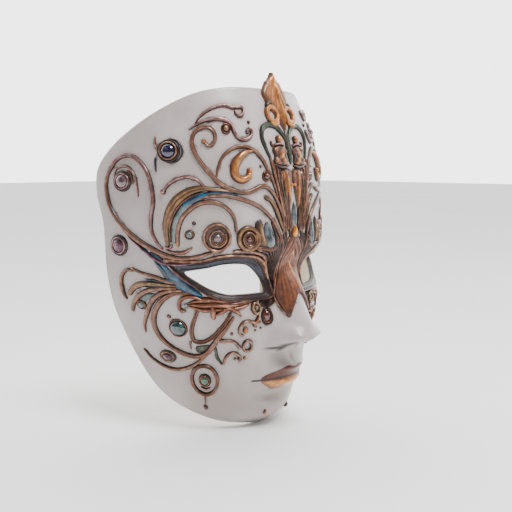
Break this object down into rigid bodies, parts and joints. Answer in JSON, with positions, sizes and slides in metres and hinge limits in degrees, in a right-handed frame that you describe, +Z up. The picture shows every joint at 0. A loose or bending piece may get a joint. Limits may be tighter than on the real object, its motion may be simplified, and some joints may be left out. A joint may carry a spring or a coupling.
{
  "type": "venetian masquerade mask",
  "caption": "Full-face carnival mask: a curved white shell with raised copper and gold scrollwork, enamel inlays, set stones, a leaf crest and hinged ribbon loops.",
  "frame": {"origin": "where the mask meets the wearer: eye line, centre of the rim plane at the temples", "axes": "+Z up, the face looks along -Y, +X is the wearer's left"},
  "size_m": [0.1726, 0.1293, 0.2511],
  "materials": {
    "porcelain_white": "papier-mache shell under smooth warm-white satin gesso",
    "copper_relief": "moulded relief, copper leaf with a brown and violet patina",
    "gold_relief": "moulded relief, old gold leaf rubbed through on the high parts",
    "patina_relief": "moulded relief, bronze paint with green patina",
    "enamel": "glossy teal and blue enamel paint over relief",
    "cabochon": "polished resin stone in a copper bezel",
    "leather": "thin brown leather",
    "brass": "satin brass"
  },
  "bodies": {
    "mask": {"mask_shell": "porcelain_white", "crest_leaf": "gold_relief", "crest_frame": "patina_relief", "brow_drop": "gold_relief", "nose_plate": "copper_relief", "crest_capital_l": "gold_relief", "crest_capital_r": "gold_relief", "crest_blade_l": "gold_relief", "crest_blade_r": "gold_relief", "centre_stem_l": "copper_relief", "centre_stem_r": "copper_relief", "brow_petal_l": "enamel", "brow_petal_r": "enamel", "eye_trim_l": "copper_relief", "eye_trim_r": "copper_relief", "enamel_brow_l": "enamel", "enamel_brow_r": "enamel", "enamel_wing_l": "enamel", "enamel_wing_r": "enamel", "temple_scroll_l": "copper_relief", "temple_scroll_r": "copper_relief", "brow_leaf_l": "gold_relief", "brow_leaf_r": "gold_relief", "brow_scroll_l": "copper_relief", "brow_scroll_r": "copper_relief", "forehead_scroll_l": "copper_relief", "forehead_scroll_r": "copper_relief", "forehead_horn_l": "gold_relief", "forehead_horn_r": "gold_relief", "rosette_outer_l": "copper_relief", "rosette_outer_r": "copper_relief", "rosette_inner_l": "gold_relief", "rosette_inner_r": "gold_relief", "temple_gem_l": "copper_relief", "temple_gem_r": "copper_relief", "temple_cabochon_l": "cabochon", "temple_cabochon_r": "cabochon", "temple_boss_l": "copper_relief", "temple_boss_r": "copper_relief", "cheek_fan_l": "copper_relief", "cheek_fan_r": "copper_relief", "cheek_acanthus_l": "copper_relief", "cheek_acanthus_r": "copper_relief", "cheek_scroll_l": "copper_relief", "cheek_scroll_r": "copper_relief", "cheek_pendant_l": "copper_relief", "cheek_pendant_r": "copper_relief", "pendant_gem_l": "cabochon", "pendant_gem_r": "cabochon", "cheek_cabochon_l": "cabochon", "cheek_cabochon_r": "cabochon", "cheek_garnet_l": "cabochon", "cheek_garnet_r": "cabochon", "nose_side_scroll_l": "copper_relief", "nose_side_scroll_r": "copper_relief", "ribbon_patch_l": "leather", "ribbon_patch_r": "leather"},
    "loop_l": {"ribbon_loop_l": "brass"},
    "loop_r": {"ribbon_loop_r": "brass"}
  },
  "joints": [
    {"name": "loop_hinge_l", "type": "hinge", "parent": "mask", "child": "loop_l", "pos_m": [0.07546, -0.02072, 0.0224], "axis": [0, 0, 1], "range_deg": [-8, 150]},
    {"name": "loop_hinge_r", "type": "hinge", "parent": "mask", "child": "loop_r", "pos_m": [-0.07546, -0.02072, 0.0224], "axis": [0, 0, -1], "range_deg": [-8, 150]}
  ]
}
